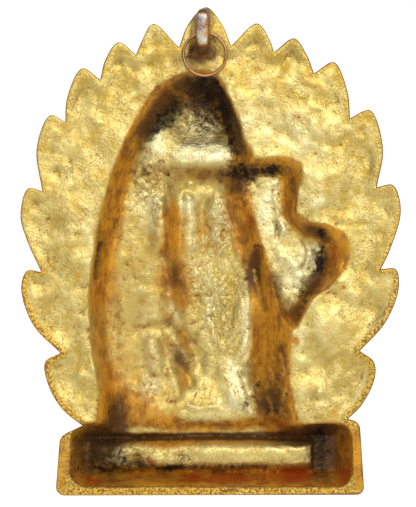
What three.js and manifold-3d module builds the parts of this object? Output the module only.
// Cast aluminium wall plaque with a wire hanging ring.
//
// The plaque is one hollow relief casting: a robed figure with a child stands on a plinth before a
// leaf-edged back plate. The relief faces -Y, its hollow back faces +Y, and +Z is up. A lug cast on
// the back near the top carries a wire ring. Units are millimetres, and the origin is where the
// ring's wire passes through the lug's eye.
//
// The hollow is drawn first, as a depth below the flat back rim at each point of the X-Z plane. The
// front is the same form thickened all round by the wall, with the carving added.

import * as THREE from 'three';
import { mergeVertices } from 'three/addons/utils/BufferGeometryUtils.js';
import Module from 'manifold-3d';

// Driving dimensions. Outlines are drawn from a datum that lies DATUM_X beside and DATUM_Z above
// the wire in the eye, so the datum's own place is the negative of that.
const DATUM_X = -1.7;
const DATUM_Z = -0.5;
const RIM_Y = -2.5; // the flat back rim, on the wall side of the plate
const WALL = 3.4; // metal thickness of the plate and of every relief wall

// The hollows, as depths below the rim
const BODY_DEPTH = 20.5;
const CLOAK_DEPTH = 14;
const HEAD_DEPTH = 21;
const CHILD_DEPTH = 12;
const PLINTH_DEPTH = 21;
const CREASE = 1.5; // how far the crease between the body's and the child's hollow is rounded
const PLINTH_CREASE = 3; // and the one between them and the plinth's

// How the floor of the body's hollow changes. Each change starts at a line and takes a width.
const CLOAK_FALL = { from: -115, over: 45, by: 3.5 }; // the cloak deepens downwards
const SLOPE = { top: 24.5, width: 11 }; // from the cloak's edge down to the body, towards -X
const SLOPE_SHIFTS = [{ from: -110, over: 40, by: -4 }, { from: -160, over: 30, by: 2 }];
const HEM = { rise: 4.5, from: -180, over: 22 }; // the floor rises under the robe's hem
const HEM_FALL = { from: -203, over: 9, by: 1.1 }; // and falls again above the plinth
const HEM_SIDE = { from: 50, over: 12 };
const NECK = { z: -67, depth: 13, toHead: 11, toChest: 13, step: 2 };
const VEIL = { from: 18, over: 8 };

// The plinth's hollow and its bar
const PLINTH_HOLLOW = { left: -76.9, right: 73.1, low: -240.6, high: -206, corner: 9, wall: 9.5 };
const ROLL = { left: -56.5, right: 68, middle: -223.5, half: 8.6, leftWall: 1.6, rightWall: 12 };
const ROLL_DEPTH = 10; // its crest's depth below the rim
const ROLL_POWER = 0.8; // below 1 makes the bar's sides steeper than a cosine's

// The cast-on lug: a fin with a slot across it, centred beside the datum
const LUG_X = 2.9;
const LUG_WIDTH = 8.2;
const LUG_EDGE = 1;
const LUG_TOP = 14.4;
const LUG_CREST_TOP = 9.7;
const LUG_CREST_LOW = -5;
const LUG_FOOT = -11;
const LUG_CREST_Y = 6;
const LUG_SUNK = 2; // how far the lug's foot runs into the plate
const LUG_TOE = 1.5; // height of its rounded foot's end above the rim
const SLOT = { y: 0.7, z: 1.6, halfWidth: 2.5, halfHeight: 3.6 };

// The hanging ring
const RING_RADIUS = 11.3; // to the middle of the wire
const WIRE_RADIUS = 0.75;
const RING_SEGMENTS = 32;
const WIRE_SEGMENTS = 8;

// Spacing of the facets
const EDGE_STEP = 3.4;
const WALL_STEP = 3.8;
const FLOOR_STEP = 4.4;
const PLATE_STEP = 9;
const CARVING_STEP = 2.4;
const JITTER = 0.15;
const FINE_SHARE = 0.92; // part of its spacing that a point keeps clear of the others
const OUTLINE_SHARE = 0.6; // part of it that it keeps clear of the outline
const OUTLINE_GAP = 2.5; // and the most that it has to
const WALL_SHARES = [0, 0.3, 0.65, 1]; // rows of points down a wall, from the opening to the floor
const WALL_SHOWS = 1.6; // depth by which another hollow may be deeper and the wall still shows
const STEEP_WALL = 0.45; // slope above which the close spacing holds
const STEEP_CARVING = 0.3;
const SLOPE_REACH = 2; // how far apart the heights are that a slope is taken from
const PLAIN_RISE = 0.1; // the most that the front's field rises or slopes where it counts as plain
const PLAIN_SLOPE = 0.06;
const FACE_FIELD = 1.5; // how far round the face the closest spacing goes, in the face's half sizes
const ROLL_STEP = 7;
const ROLL_ROWS = [-1.05, -0.8, -0.4, 0, 0.4, 0.8, 1.05]; // rows across the bar, as shares of its half
const ROW_GAP = 1.1; // nearest that a row's point may come to another
const CHANNEL_ROWS = [-0.62, -0.3, 0, 0.3, 0.62]; // rows across the front's channel, which is narrower

// The leaf-shaped points round the edge, from the top down each side: root, tip, one or two
// belly points. Each leaf runs from the root before it, over its tip and belly, to its own root.
const TOP_LEAF = [[-7.4, 5.3], [1.3, 14.7], [10.6, 5.3]];
const RIGHT_LEAVES = [
  { root: [15.4, -6.9] },
  { tip: [29.2, 5.6], belly: [[35.0, -3.2]], root: [38.2, -10.9] },
  { tip: [47.7, -4.2], belly: [[54.6, -13.8]], root: [57.2, -24.1] },
  { tip: [66.8, -18.0], belly: [[74.7, -33.4]], root: [75.8, -46.6] },
  { tip: [83.7, -42.9], belly: [[90.9, -60.4]], root: [88.0, -83.2] },
  { tip: [95.4, -81.6], belly: [[99.6, -95.9], [96.2, -109]], root: [88.5, -126.1] },
  { tip: [95.9, -125.3], belly: [[99.1, -134.6], [92.8, -154.2]], root: [78.4, -169.1] },
  { tip: [86.4, -173.8], belly: [[84.8, -186.0], [77.4, -198.8]], root: [66.5, -207.8] },
];
const LEFT_LEAVES = [
  { root: [-12.2, -6.1] },
  { tip: [-26.0, 5.8], belly: [[-32.9, -3.2]], root: [-35.0, -9.5] },
  { tip: [-45.6, -2.1], belly: [[-52.5, -11.1]], root: [-56.2, -20.7] },
  { tip: [-66.8, -14.8], belly: [[-74.2, -31.3]], root: [-75.3, -44.5] },
  { tip: [-85.9, -40.3], belly: [[-92.8, -60.4]], root: [-89.6, -81.1] },
  { tip: [-98.1, -80.0], belly: [[-102.3, -93.3], [-96.5, -114.5]], root: [-91.7, -124.6] },
  { tip: [-99.6, -124.6], belly: [[-101.2, -134.6], [-94.3, -152.6]], root: [-80.6, -168.0] },
  { tip: [-88.0, -173.8], belly: [[-88.5, -182.3], [-81.6, -196.6]], root: [-74.2, -204.1] },
];
const PLINTH_CORNERS = [
  { at: [78.5, -213.0], radius: 6 },
  { at: [81.0, -244.7], radius: 4.5 },
  { at: [-83.0, -244.3], radius: 4 },
  { at: [-80.5, -205.6], radius: 5 },
];

// Where each hollow opens at the rim, and where its wall meets its floor
const BODY_OPENING = smoothLoop([
  [61, -218], [60.6, -206.7], [58.8, -194], [61.5, -175.4], [63.6, -156.9], [64.1, -135.7],
  [61.5, -113.4], [56.7, -90.6], [50.4, -69.4], [40.8, -49.8], [31.8, -33.9], [23.9, -24.9],
  [13.3, -20.1], [1.6, -19.1], [-5.8, -22.3], [-10.6, -30.7], [-15.9, -42.9], [-19.6, -54.6],
  [-24.5, -66], [-29, -80], [-32, -96], [-37, -114.5], [-43.5, -135.7], [-46, -150],
  [-45.1, -162.2], [-43.5, -178.1], [-45.6, -194], [-48.2, -206], [-50, -218],
]);
const BODY_FLOOR = smoothLoop([
  [46, -214], [45, -204], [48, -190], [51.5, -175], [53.5, -157], [53.5, -136], [50, -113],
  [45.5, -91], [39, -70], [31, -53], [24, -44], [14, -38], [4, -37], [-2, -40], [-6, -46],
  [-9, -53], [-12, -61], [-11, -69], [-6, -77], [-3, -84], [-9, -95], [-13.5, -102],
  [-15.5, -112], [-19, -122], [-21.5, -132], [-22.5, -145], [-22.5, -158], [-20.5, -168],
  [-17, -176], [-19, -185], [-22, -195], [-26, -205], [-30, -214],
]);
const CHILD_OPENING = smoothLoop([
  [-18, -66.5], [-28.6, -65.7], [-40.8, -64.7], [-48.2, -67.8], [-50.4, -73.1], [-47.7, -82.7],
  [-47.2, -94.3], [-52.5, -99.1], [-64.7, -101.8], [-72.6, -106.5], [-74.7, -114.5],
  [-70.5, -126.1], [-64.7, -134.6], [-55.7, -141], [-50.4, -151.6], [-45, -158],
  [-34, -150], [-24, -130], [-14, -100], [-10, -80],
]);
const CHILD_FLOOR = smoothLoop([
  [-20, -78], [-28, -75.5], [-38.5, -76], [-40.5, -84], [-40.5, -94], [-43, -101], [-49, -107],
  [-58, -109.5], [-61.5, -116], [-60.5, -123], [-57.5, -130], [-51, -136], [-46, -142],
  [-40, -146], [-32, -140], [-26, -125], [-20, -105], [-17, -90],
]);

// Folds in the floor of the body's hollow: a line, its half width, and its height towards the wall
const HOLLOW_FOLDS = [
  [[[24, -80], [25.5, -100], [26, -121]], 5, 3],
  [[[10, -82], [9.5, -98], [8, -118]], 3.4, 1.8],
  [[[3, -84], [3, -100], [2.5, -120]], 2.8, -1.2],
  [[[-3, -84], [-5, -100], [-8, -119]], 3.8, 1.6],
  [[[-20, -126], [-22, -145], [-21.5, -160], [-16, -179]], 2.4, 1.4],
  [[[22, -136], [18.5, -147], [13, -157]], 3.2, 2.2],
  [[[28, -150], [20, -154], [12, -160], [5, -172], [3, -186]], 3.6, -2.2],
  [[[26, -161], [19, -172], [12, -180], [8, -192]], 3.4, -2],
  [[[33, -132], [31, -146], [30, -157]], 5, 1.6],
  [[[31, -158], [29, -172], [27, -185]], 4.6, 2.2],
  [[[-5, -174], [-12, -186], [-19, -200]], 5, 1.8],
].map(([points, half, height]) => ({ line: smoothLine(points), half, height }));

// Carving added to the front of the figure: ridges and grooves, as a line, half width and height
const FRONT_RIDGES = [
  // the hood's edge round the face
  [[[-7, -66], [-10.5, -54], [-7, -41], [3, -35], [13, -41], [16.5, -54], [13, -66]], 2.6, 3],
  // the mantle's two long front edges
  [[[-12, -73], [-15, -98], [-20, -135], [-22, -170], [-26, -202]], 3, 2.6],
  [[[18, -72], [24, -92], [27, -125], [27, -165], [31, -202]], 3, 3],
  // the arm that carries the child, and the arm bent across the waist
  [[[-10, -86], [-18, -106], [-31, -117], [-46, -122]], 5.5, 5],
  [[[29, -90], [35, -110], [26, -124], [10, -127], [-4, -121]], 5.5, 4.6],
  // long folds of the robe, fanning to the hem, and the gap between them
  [[[-9, -134], [-12, -160], [-16, -201]], 3, 2.6],
  [[[0, -136], [-1, -165], [-4, -201]], 3, 2.6],
  [[[8, -136], [9, -165], [8, -201]], 3, 2.6],
  [[[16, -136], [18, -165], [19, -201]], 3, 2.4],
  // folds of the mantle's hanging side
  [[[37, -118], [40, -150], [40, -200]], 3.4, 2.6],
  [[[46, -104], [51, -145], [50, -196]], 3.4, 2.2],
  // the child's arm, and its legs under the robe
  [[[-40, -88], [-43, -98], [-34, -104]], 3, 2.4],
  [[[-36, -106], [-52, -112], [-62, -114]], 5.5, 4],
  [[[-61, -114], [-58, -125], [-53, -136]], 4, 3.4],
].map(([points, half, height]) => ({ line: smoothLine(points), half, height }));

// Carving added to the front: rounded forms, as centre, half width, half height and height
const FACE = { x: 3, z: -51, halfX: 8, halfZ: 11, height: 4.2 };
const FRONT_DOMES = [
  FACE,
  { x: -32.5, z: -77, halfX: 8.5, halfZ: 9.5, height: 7 }, // child's head
  { x: -33, z: -97, halfX: 9, halfZ: 12, height: 3.6 }, // child's chest
  { x: -54, z: -138, halfX: 5, halfZ: 4, height: 3 }, // child's foot
  { x: -6, z: -121, halfX: 5, halfZ: 4.5, height: 2 }, // hand at the waist
  { x: -4, z: -202, halfX: 5.5, halfZ: 4, height: 4 }, // feet below the hem
  { x: 10, z: -202, halfX: 5.5, halfZ: 4, height: 4 },
];

// Where the carving may be: on the figure above the plinth, and on the plate's flat field
const FIGURE_FADE = 8;
const FIGURE_FOOT = { from: -208, over: 5 };
const FIELD_FADE = 2;
const FIELD_FOOT = { from: -207, over: 6 };

// Carving of the plate round the figure
const EDGE_BEAD = { inset: 3.2, half: 1.7, height: 1.1 };
const HALO = { x: -1, z: -122, halfX: 76, halfZ: 96, half: 2.2, height: 1.6 };
const HALO_FOOT = { from: -200, over: 10 };
const LEAF_RIB = { half: 2.6, height: 1.5, gap: 3, reach: 14, middle: [-1, -115] };
const RIDGE_FADE = 0.18; // part of a ridge's line that each of its ends takes to fade out

// The ball that thickens the hollow: rings of directions, as shares of the wall
const BALL_RINGS = [0.6, 0.95];
const BALL_STEPS = 8;

function smoothstep(share) {
  const t = THREE.MathUtils.clamp(share, 0, 1);
  return t * t * (3 - 2 * t);
}

// How far a change has come at a height below its start, and at a place beside its start.
function below(z, { from, over }) {
  return smoothstep((from - z) / over);
}

function above(z, { from, over }) {
  return smoothstep((z - from) / over);
}

// The larger of two depths, with the crease between them rounded over a width where both are deep.
function smoothMax(a, b, width) {
  const round = Math.min(width, a, b);
  if (round <= 0) return Math.max(a, b);
  const share = THREE.MathUtils.clamp(0.5 + (0.5 * (a - b)) / round, 0, 1);
  return b + (a - b) * share + round * share * (1 - share);
}

function curveThrough(points, closed, steps) {
  const curve = new THREE.CatmullRomCurve3(
    points.map(([x, z]) => new THREE.Vector3(x, 0, z)), closed, 'centripetal');
  const sampled = curve.getPoints(steps * (closed ? points.length : points.length - 1));
  if (closed) sampled.pop();
  return sampled.map((point) => [point.x, point.z]);
}

function smoothLoop(points) {
  return curveThrough(points, true, 4);
}

function smoothLine(points) {
  return curveThrough(points, false, 5);
}

// Nearest point of one straight stretch, as a squared distance and a share of the stretch.
function toStretch(x, z, [ax, az], [bx, bz]) {
  const dx = bx - ax;
  const dz = bz - az;
  const share = THREE.MathUtils.clamp(((x - ax) * dx + (z - az) * dz) / (dx * dx + dz * dz), 0, 1);
  return { square: (x - ax - share * dx) ** 2 + (z - az - share * dz) ** 2, share };
}

// Distance to a closed outline, positive inside it.
function insideDistance(x, z, loop) {
  let nearest = Infinity;
  let inside = false;
  loop.forEach(([ax, az], index) => {
    const [bx, bz] = loop[(index + 1) % loop.length];
    nearest = Math.min(nearest, toStretch(x, z, [ax, az], [bx, bz]).square);
    if ((az > z) !== (bz > z) && x < ((z - az) * (bx - ax)) / (bz - az) + ax) inside = !inside;
  });
  return inside ? Math.sqrt(nearest) : -Math.sqrt(nearest);
}

// Distance inside a rectangle with rounded corners, positive inside it.
function insideBox(x, z, { left, right, low, high, corner }) {
  const acrossX = Math.abs(x - (left + right) / 2) - (right - left) / 2 + corner;
  const acrossZ = Math.abs(z - (low + high) / 2) - (high - low) / 2 + corner;
  const outside = Math.hypot(Math.max(acrossX, 0), Math.max(acrossZ, 0));
  return corner - outside - Math.min(Math.max(acrossX, acrossZ), 0);
}

// How far down a hollow's wall a point is: 0 at its opening, 1 on its floor.
function wallShare(x, z, opening, floor) {
  const fromOpening = insideDistance(x, z, opening);
  if (fromOpening <= 0) return 0;
  const fromFloor = Math.max(-insideDistance(x, z, floor), 0);
  return fromOpening / (fromOpening + fromFloor);
}

// A wall's profile: rounded over at the rim, steep, rounded into the floor.
function wallProfile(share) {
  if (share <= 0) return 0;
  return 0.75 * smoothstep(share) + 0.25 * Math.sin((Math.min(share, 1) * Math.PI) / 2);
}

// A rounded ridge or groove along a line, fading out at both ends.
function ridge(x, z, { line, half, height }) {
  let nearest = Infinity;
  let along = 0;
  for (let index = 0; index < line.length - 1; index += 1) {
    const { square, share } = toStretch(x, z, line[index], line[index + 1]);
    if (square < nearest) {
      nearest = square;
      along = (index + share) / (line.length - 1);
    }
  }
  const fade = smoothstep(Math.min(along, 1 - along) / RIDGE_FADE);
  return height * fade * Math.exp(-nearest / (half * half));
}

function dome(x, z, { x: cx, z: cz, halfX, halfZ, height }) {
  return height * Math.exp(-(((x - cx) / halfX) ** 2) - ((z - cz) / halfZ) ** 2);
}

function total(parts, valueOf) {
  return parts.reduce((sum, part) => sum + valueOf(part), 0);
}

// The floor of the body's hollow: a shallow cloak at +X, a slope down to the body, a raised bar
// across the neck and a bowl for the head above it.
function bodyFloorDepth(x, z) {
  const cloak = CLOAK_DEPTH + CLOAK_FALL.by * below(z, CLOAK_FALL);
  const slopeTop = SLOPE.top + total(SLOPE_SHIFTS, (shift) => shift.by * below(z, shift));
  const level = cloak + (BODY_DEPTH - cloak) * smoothstep((slopeTop - x) / SLOPE.width);
  const hem = HEM.rise * (below(z, HEM) - HEM_FALL.by * below(z, HEM_FALL));
  const body = level - hem * below(x, HEM_SIDE);
  const bowl = NECK.depth + (HEAD_DEPTH - NECK.depth) * smoothstep((z - NECK.z) / NECK.toHead);
  const head = bowl + (CLOAK_DEPTH - bowl) * above(x, VEIL);
  const chest = NECK.depth + (body - NECK.depth) * smoothstep((NECK.z - z) / NECK.toChest);
  const overNeck = smoothstep((z - NECK.z) / NECK.step + 0.5);
  return chest + (head - chest) * overNeck - total(HOLLOW_FOLDS, (fold) => ridge(x, z, fold));
}

function bodyDepth(x, z) {
  const share = wallShare(x, z, BODY_OPENING, BODY_FLOOR);
  return share > 0 ? bodyFloorDepth(x, z) * wallProfile(share) : 0;
}

function childDepth(x, z) {
  return CHILD_DEPTH * wallProfile(wallShare(x, z, CHILD_OPENING, CHILD_FLOOR));
}

function plinthDepth(x, z) {
  return PLINTH_DEPTH * wallProfile(insideBox(x, z, PLINTH_HOLLOW) / PLINTH_HOLLOW.wall);
}

// Depth of the hollow back below the rim at one point.
function hollowDepth(x, z) {
  const body = bodyDepth(x, z);
  const child = childDepth(x, z);
  const plinth = plinthDepth(x, z);
  const depth = smoothMax(smoothMax(body, child, CREASE), plinth, PLINTH_CREASE);
  return Math.min(depth, rollDepth(x, z));
}

// Depth of the rounded bar inside the plinth, or no limit away from it.
function rollDepth(x, z) {
  const reach = smoothstep((x - ROLL.left) / ROLL.leftWall) * smoothstep((ROLL.right - x) / ROLL.rightWall);
  const across = Math.abs(z - ROLL.middle) / ROLL.half;
  if (across >= 1 || reach <= 0) return Infinity;
  const arch = Math.cos((across * Math.PI) / 2) ** ROLL_POWER;
  return PLINTH_DEPTH - (PLINTH_DEPTH - ROLL_DEPTH) * arch * reach;
}

// Height of the front before carving: the hollow thickened all round by the wall.
function thickened(x, z) {
  let height = hollowDepth(x, z) + WALL;
  for (const share of BALL_RINGS) {
    const reach = share * WALL;
    const lift = Math.sqrt(WALL * WALL - reach * reach);
    for (let step = 0; step < BALL_STEPS; step += 1) {
      const angle = (step / BALL_STEPS) * 2 * Math.PI;
      const depth = hollowDepth(x + reach * Math.cos(angle), z + reach * Math.sin(angle));
      height = Math.max(height, depth + lift);
    }
  }
  return height;
}

// The raised bead along the edge, the halo and the leaves' midribs.
function plateCarving(x, z) {
  const inset = insideDistance(x, z, OUTLINE);
  const bead = EDGE_BEAD.height * Math.exp(-(((inset - EDGE_BEAD.inset) / EDGE_BEAD.half) ** 2));
  const round = Math.hypot((x - HALO.x) / HALO.halfX, (z - HALO.z) / HALO.halfZ);
  const off = (round - 1) * Math.min(HALO.halfX, HALO.halfZ);
  const halo = HALO.height * Math.exp(-((off / HALO.half) ** 2)) * above(z, HALO_FOOT);
  const ribs = LEAF_RIBS.reduce((most, rib) => Math.max(most, ridge(x, z, rib)), 0);
  return bead + Math.max(halo, ribs) * above(z, FIELD_FOOT);
}

// Height of the finished front.
function frontHeight(x, z) {
  const plain = thickened(x, z);
  const onFigure = smoothstep((plain - WALL) / FIGURE_FADE) * above(z, FIGURE_FOOT);
  const onPlate = 1 - smoothstep((plain - WALL) / FIELD_FADE);
  const ridges = total(FRONT_RIDGES, (line) => ridge(x, z, line));
  const domes = total(FRONT_DOMES, (form) => dome(x, z, form));
  return plain + onFigure * (ridges + domes) + (onPlate > 0 ? onPlate * plateCarving(x, z) : 0);
}

// One leaf's edge as evenly spaced points through the given ones, without the last.
function leafEdge(through, step) {
  const curve = new THREE.CatmullRomCurve3(
    through.map(([x, z]) => new THREE.Vector3(x, 0, z)), false, 'centripetal');
  const count = Math.max(4, Math.round(curve.getLength() / step));
  return curve.getSpacedPoints(count).slice(0, -1).map((point) => [point.x, point.z]);
}

// All the leaves down one side, each from the root of the one before it.
function sideEdge(leaves, step) {
  return leaves.slice(1).flatMap(({ tip, belly, root }, index) =>
    leafEdge([leaves[index].root, tip, ...belly, root], step));
}

// The points of a rounded corner between two straight edges.
function roundedCorner(before, { at, radius }, after, step) {
  const corner = new THREE.Vector2(...at);
  const inward = new THREE.Vector2(...before).sub(corner).normalize();
  const outward = new THREE.Vector2(...after).sub(corner).normalize();
  const half = inward.angleTo(outward) / 2;
  const middle = inward.clone().add(outward).normalize();
  const centre = corner.clone().addScaledVector(middle, radius / Math.sin(half));
  const first = corner.clone().addScaledVector(inward, radius / Math.tan(half)).sub(centre);
  const last = corner.clone().addScaledVector(outward, radius / Math.tan(half)).sub(centre);
  const turn = Math.atan2(first.cross(last), first.dot(last));
  const count = Math.max(2, Math.round((Math.abs(turn) * radius) / step) + 1);
  return Array.from({ length: count + 1 }, (_, index) => {
    const point = first.clone().rotateAround(new THREE.Vector2(), (turn * index) / count).add(centre);
    return [point.x, point.y];
  });
}

// An open line with points added along each straight stretch that is longer than the step.
function evenly(points, step) {
  const inner = points.slice(0, -1).flatMap(([ax, az], index) => {
    const [bx, bz] = points[index + 1];
    const count = Math.max(1, Math.round(Math.hypot(bx - ax, bz - az) / step));
    return Array.from({ length: count }, (_, at) => between([ax, az], [bx, bz], at / count));
  });
  return [...inner, points.at(-1)];
}

function between([ax, az], [bx, bz], share) {
  return [ax + (bx - ax) * share, az + (bz - az) * share];
}

// The plaque's whole outline, clockwise seen from the front, from the top leaf round by +X.
function plaqueOutline(step) {
  const shoulderRight = RIGHT_LEAVES.at(-1).root;
  const shoulderLeft = LEFT_LEAVES.at(-1).root;
  const top = leafEdge([LEFT_LEAVES[0].root, ...TOP_LEAF, RIGHT_LEAVES[0].root], step);
  const right = sideEdge(RIGHT_LEAVES, step);
  const left = sideEdge(LEFT_LEAVES, step).slice(1).reverse();
  const places = [shoulderRight, ...PLINTH_CORNERS.map(({ at }) => at), shoulderLeft];
  const corners = PLINTH_CORNERS.flatMap((corner, index) =>
    roundedCorner(places[index], corner, places[index + 2], step));
  return [...top, ...right, ...evenly([shoulderRight, ...corners, shoulderLeft], step), ...left];
}

const OUTLINE = plaqueOutline(EDGE_STEP);

// The midrib of each leaf, from near its tip towards the middle of the plate
const SIDE_LEAVES = [...RIGHT_LEAVES.slice(1), ...LEFT_LEAVES.slice(1)];
const LEAF_TIPS = [TOP_LEAF[1], ...SIDE_LEAVES.map(({ tip }) => tip)];
const LEAF_RIBS = LEAF_TIPS.map((tip) => {
  const inward = [LEAF_RIB.middle[0] - tip[0], LEAF_RIB.middle[1] - tip[1]];
  const length = Math.hypot(...inward);
  const line = [LEAF_RIB.gap + LEAF_RIB.reach, LEAF_RIB.gap].map((reach) =>
    between(tip, LEAF_RIB.middle, reach / length));
  return { line, half: LEAF_RIB.half, height: LEAF_RIB.height };
});

// The two hollows with drawn outlines and the plinth's, with the depth that each has by itself
const HOLLOWS = [
  { opening: boxLoop(0), floor: boxLoop(PLINTH_HOLLOW.wall), depthAt: plinthDepth },
  { opening: BODY_OPENING, floor: BODY_FLOOR, depthAt: bodyDepth },
  { opening: CHILD_OPENING, floor: CHILD_FLOOR, depthAt: childDepth },
];

// The plinth hollow's outline, moved in from its opening.
function boxLoop(inset) {
  const { left, right, low, high, corner } = PLINTH_HOLLOW;
  const radius = Math.max(corner - inset, 0.5);
  const places = [[right - inset, high - inset], [right - inset, low + inset],
    [left + inset, low + inset], [left + inset, high - inset]];
  const points = places.flatMap((at, index) =>
    roundedCorner(places[(index + 3) % 4], { at, radius }, places[(index + 1) % 4], WALL_STEP));
  return evenly([...points, points[0]], WALL_STEP).slice(0, -1);
}

// Rows of points down each hollow's wall, where that wall shows, with the opening's row moved out.
function wallPoints(outward) {
  const shows = (depthAt, [x, z]) => depthAt(x, z) > hollowDepth(x, z) - WALL_SHOWS && !onRoll(x, z);
  return HOLLOWS.flatMap(({ opening, floor, depthAt }) => thinned(opening, WALL_STEP).flatMap((top) => {
    const foot = nearestOf(floor, top);
    const run = Math.hypot(foot[0] - top[0], foot[1] - top[1]);
    const start = between(top, foot, -outward / run);
    return WALL_SHARES.filter((share) => shows(depthAt, between(top, foot, share)))
      .map((share) => between(start, foot, share));
  }));
}

// Whether a point belongs to the rows along the plinth's bar.
function onRoll(x, z) {
  return x > ROLL.left - ROW_GAP && x < ROLL.right && Math.abs(z - ROLL.middle) < ROLL.half + ROW_GAP;
}

// Rows of points along the plinth's bar, with close ones at its cut end.
function rollPoints(rows) {
  const count = Math.round((ROLL.right - ROLL.left) / ROLL_STEP);
  const steps = Array.from({ length: count }, (_, index) => ROLL.left + ROLL.leftWall + index * ROLL_STEP);
  return [ROLL.left, ...steps].flatMap((x) => rows.map((row) => [x, ROLL.middle + row * ROLL.half]));
}

function nearestOf(loop, [x, z]) {
  return loop.reduce((best, place) =>
    (Math.hypot(place[0] - x, place[1] - z) < Math.hypot(best[0] - x, best[1] - z) ? place : best));
}

// Spread points over the plaque: its outline, the wanted rows, then a jittered triangular grid that
// keeps the spacing asked for at each place.
function spreadPoints(rows, spacingAt) {
  const points = [...OUTLINE];
  const isClear = ([x, z], gap) => insideDistance(x, z, OUTLINE) > Math.min(gap * OUTLINE_SHARE, OUTLINE_GAP)
    && !points.some(([px, pz]) => (px - x) ** 2 + (pz - z) ** 2 < gap * gap);
  rows.forEach((place) => {
    if (isClear(place, ROW_GAP)) points.push(place);
  });
  const xs = OUTLINE.map(([x]) => x);
  const zs = OUTLINE.map(([, z]) => z);
  let odd = false;
  for (let z = Math.min(...zs); z < Math.max(...zs); z += (CARVING_STEP * Math.sqrt(3)) / 2) {
    odd = !odd;
    for (let x = Math.min(...xs) + (odd ? CARVING_STEP / 2 : 0); x < Math.max(...xs); x += CARVING_STEP) {
      const place = jittered(x, z);
      if (isClear(place, spacingAt(...place) * FINE_SHARE)) points.push(place);
    }
  }
  return points;
}

// A grid point moved a little, so that no four points lie on one circle.
function jittered(x, z) {
  return [x + JITTER * Math.sin(x * 12.9 + z * 78.2), z + JITTER * Math.sin(x * 39.3 + z * 11.1)];
}

// Delaunay triangles of the points, by adding them one at a time, without those outside the
// outline.
function triangulate(points) {
  const reach = 4000; // of the first triangle, which holds all the points
  const all = [...points, [-reach, -reach], [reach, -reach], [0, reach]];
  const count = points.length;
  let triangles = [circled(all, count, count + 1, count + 2)];
  for (let index = 0; index < count; index += 1) {
    const [x, z] = all[index];
    const holes = new Map();
    const kept = [];
    for (const triangle of triangles) {
      const hit = (x - triangle.x) ** 2 + (z - triangle.z) ** 2 < triangle.square;
      if (!hit) {
        kept.push(triangle);
        continue;
      }
      for (const [from, to] of edgesOf(triangle.corners)) {
        if (holes.has(`${to},${from}`)) holes.delete(`${to},${from}`);
        else holes.set(`${from},${to}`, [from, to]);
      }
    }
    for (const [from, to] of holes.values()) kept.push(circled(all, from, to, index));
    triangles = kept;
  }
  return triangles.map(({ corners }) => corners).filter((corners) => {
    if (corners.some((corner) => corner >= count)) return false;
    const x = (all[corners[0]][0] + all[corners[1]][0] + all[corners[2]][0]) / 3;
    const z = (all[corners[0]][1] + all[corners[1]][1] + all[corners[2]][1]) / 3;
    return insideDistance(x, z, OUTLINE) > 0;
  });
}

function edgesOf([a, b, c]) {
  return [[a, b], [b, c], [c, a]];
}

// A triangle, turned anticlockwise in the X-Z plane, with the circle through its corners.
function circled(all, a, b, c) {
  const [ax, az] = all[a];
  const [bx, bz] = all[b];
  const [cx, cz] = all[c];
  const area = 2 * ((bx - ax) * (cz - az) - (bz - az) * (cx - ax));
  const b2 = (bx - ax) ** 2 + (bz - az) ** 2;
  const c2 = (cx - ax) ** 2 + (cz - az) ** 2;
  const ux = ((cz - az) * b2 - (bz - az) * c2) / area;
  const uz = ((bx - ax) * c2 - (cx - ax) * b2) / area;
  return { corners: area > 0 ? [a, b, c] : [a, c, b], x: ax + ux, z: az + uz, square: ux * ux + uz * uz };
}

// A closed mesh between the back and front surfaces, with a wall round the outline.
function plaqueGeometry(backPoints, frontPoints) {
  const edgeCount = OUTLINE.length;
  const back = triangulate(backPoints);
  const front = triangulate(frontPoints);
  const positions = [];
  backPoints.forEach(([x, z]) => positions.push(x + DATUM_X, RIM_Y - hollowDepth(x, z), z + DATUM_Z));
  frontPoints.forEach(([x, z]) => positions.push(x + DATUM_X, RIM_Y - frontHeight(x, z), z + DATUM_Z));
  const offset = backPoints.length;
  const indices = [];
  back.forEach(([a, b, c]) => indices.push(a, c, b));
  front.forEach(([a, b, c]) => indices.push(offset + a, offset + b, offset + c));
  for (let index = 0; index < edgeCount; index += 1) {
    const next = (index + 1) % edgeCount;
    indices.push(next, index, offset + index);
    indices.push(next, offset + index, offset + next);
  }
  const geometry = new THREE.BufferGeometry();
  geometry.setAttribute('position', new THREE.Float32BufferAttribute(positions, 3));
  geometry.setIndex(indices);
  return geometry;
}

// Points of the back: in rows down the walls and along the bar, close on the floors and wide on
// the plate.
function backPoints() {
  return spreadPoints([...rollPoints(ROLL_ROWS), ...wallPoints(0)], (x, z) => {
    if (onRoll(x, z)) return ROLL_STEP;
    const { height, slope } = slopeOf(hollowDepth, x, z);
    if (height === 0 && slope === 0) return PLATE_STEP;
    return slope > STEEP_WALL ? WALL_STEP : FLOOR_STEP;
  });
}

// Points of the front: close on walls and carving, closest on the face, wide on the plain field.
function frontPoints() {
  return spreadPoints([...rollPoints(CHANNEL_ROWS), ...wallPoints(WALL)], (x, z) => {
    if (Math.hypot((x - FACE.x) / FACE.halfX, (z - FACE.z) / FACE.halfZ) < FACE_FIELD) return CARVING_STEP;
    if (onRoll(x, z)) return ROLL_STEP;
    const { height, slope } = slopeOf(frontHeight, x, z);
    if (height < WALL + PLAIN_RISE && slope < PLAIN_SLOPE) return PLATE_STEP;
    return slope > STEEP_CARVING ? WALL_STEP : FLOOR_STEP;
  });
}

// A surface's height at one point and its steepness there.
function slopeOf(heightAt, x, z) {
  const height = heightAt(x, z);
  const rises = [heightAt(x + SLOPE_REACH, z) - height, heightAt(x, z + SLOPE_REACH) - height];
  return { height, slope: Math.hypot(...rises) / SLOPE_REACH };
}

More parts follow.
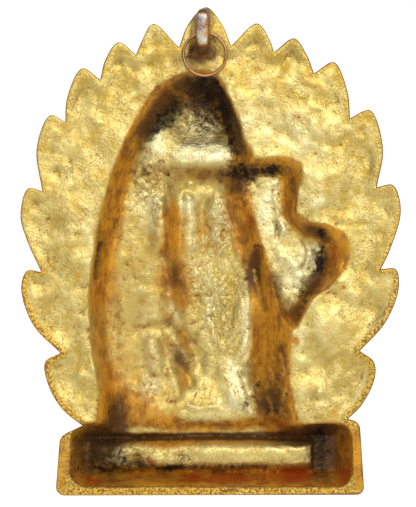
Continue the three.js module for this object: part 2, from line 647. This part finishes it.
// Points of a loop, with each about the step or more from the last one kept.
function thinned(loop, step) {
  const kept = [loop[0]];
  for (const place of loop) {
    const [x, z] = kept.at(-1);
    if (Math.hypot(place[0] - x, place[1] - z) >= step * FINE_SHARE) kept.push(place);
  }
  return kept;
}

// The lug's side outline, in its own (wall-ward, up) plane: a sloping top, a straight crest and a
// rounded foot, sunk into the plate.
function lugGeometry() {
  const root = RIM_Y - LUG_SUNK;
  const inset = LUG_EDGE;
  const side = new THREE.Shape();
  side.moveTo(root, LUG_TOP - inset);
  side.lineTo(RIM_Y, LUG_TOP - inset);
  side.quadraticCurveTo(LUG_CREST_Y - inset, LUG_TOP - inset, LUG_CREST_Y - inset, LUG_CREST_TOP - inset);
  side.lineTo(LUG_CREST_Y - inset, LUG_CREST_LOW);
  side.quadraticCurveTo(LUG_CREST_Y - inset, LUG_FOOT + inset, RIM_Y + LUG_TOE, LUG_FOOT + inset);
  side.lineTo(root, LUG_FOOT + inset);
  const geometry = new THREE.ExtrudeGeometry(side, {
    depth: LUG_WIDTH - 2 * inset,
    curveSegments: 6,
    bevelEnabled: true,
    bevelThickness: inset,
    bevelSize: inset,
    bevelSegments: 2,
    steps: 1,
  });
  geometry.translate(0, 0, -(LUG_WIDTH - 2 * inset) / 2);
  return acrossX(geometry);
}

// The slot that the ring passes through.
function slotGeometry() {
  const slot = new THREE.Shape();
  const straight = SLOT.halfHeight - SLOT.halfWidth;
  slot.absarc(0, straight, SLOT.halfWidth, 0, Math.PI, false);
  slot.absarc(0, -straight, SLOT.halfWidth, Math.PI, 2 * Math.PI, false);
  const length = LUG_WIDTH * 2;
  const geometry = new THREE.ExtrudeGeometry(slot, { depth: length, curveSegments: 8, bevelEnabled: false });
  geometry.translate(SLOT.y, SLOT.z, -length / 2);
  return acrossX(geometry);
}

// Turn a shape drawn in (wall-ward, up) and extruded sideways into the plaque's frame, at the lug.
function acrossX(geometry) {
  const turn = new THREE.Matrix4().set(0, 0, 1, LUG_X + DATUM_X, 1, 0, 0, 0, 0, 1, 0, DATUM_Z, 0, 0, 0, 1);
  return geometry.applyMatrix4(turn);
}

// A block with the plaque's outline, which the lug stays inside, so that it ends flush with the
// top leaf's edge.
function outlinePrism() {
  const shape = new THREE.Shape(OUTLINE.map(([x, z]) => new THREE.Vector2(x + DATUM_X, z + DATUM_Z)));
  const depth = WALL * 2 + LUG_CREST_Y - RIM_Y;
  const geometry = new THREE.ExtrudeGeometry(shape, { depth, bevelEnabled: false });
  geometry.rotateX(Math.PI / 2);
  geometry.translate(0, depth + RIM_Y - WALL, 0);
  return geometry;
}

// The ring hangs in the X-Z plane with the top of its wire's middle line at the origin.
function ringGeometry() {
  const ring = new THREE.TorusGeometry(RING_RADIUS, WIRE_RADIUS, WIRE_SEGMENTS, RING_SEGMENTS);
  ring.rotateX(Math.PI / 2);
  ring.translate(0, 0, -RING_RADIUS);
  return ring;
}

const wasm = await Module();
wasm.setup();

function solidFrom(geometry) {
  const bare = geometry.clone();
  bare.deleteAttribute('normal');
  bare.deleteAttribute('uv');
  const merged = mergeVertices(bare, 1e-4);
  return new wasm.Manifold(new wasm.Mesh({
    numProp: 3,
    vertProperties: Float32Array.from(merged.attributes.position.array),
    triVerts: Uint32Array.from(merged.index.array),
  }));
}

function geometryFrom(solid) {
  const mesh = solid.getMesh();
  const geometry = new THREE.BufferGeometry();
  geometry.setAttribute('position', new THREE.Float32BufferAttribute(mesh.vertProperties, 3));
  geometry.setIndex(new THREE.Uint32BufferAttribute(mesh.triVerts, 1));
  geometry.computeVertexNormals();
  return geometry;
}

function makeCasting() {
  const plate = solidFrom(plaqueGeometry(backPoints(), frontPoints()));
  const lug = solidFrom(lugGeometry()).intersect(solidFrom(outlinePrism()));
  const withLug = plate.add(lug).subtract(solidFrom(slotGeometry()));
  const gold = new THREE.MeshStandardMaterial({ color: 0xc9a24a, roughness: 0.42, metalness: 0.9 });
  const casting = new THREE.Mesh(geometryFrom(withLug), gold);
  casting.name = 'casting';
  return casting;
}

function makeRing() {
  const copper = new THREE.MeshStandardMaterial({ color: 0xb9785a, roughness: 0.35, metalness: 0.95 });
  const ring = new THREE.Mesh(ringGeometry(), copper);
  ring.name = 'hanging_ring';
  return ring;
}

const plaque = new THREE.Group();
plaque.add(makeCasting(), makeRing());

export default plaque;
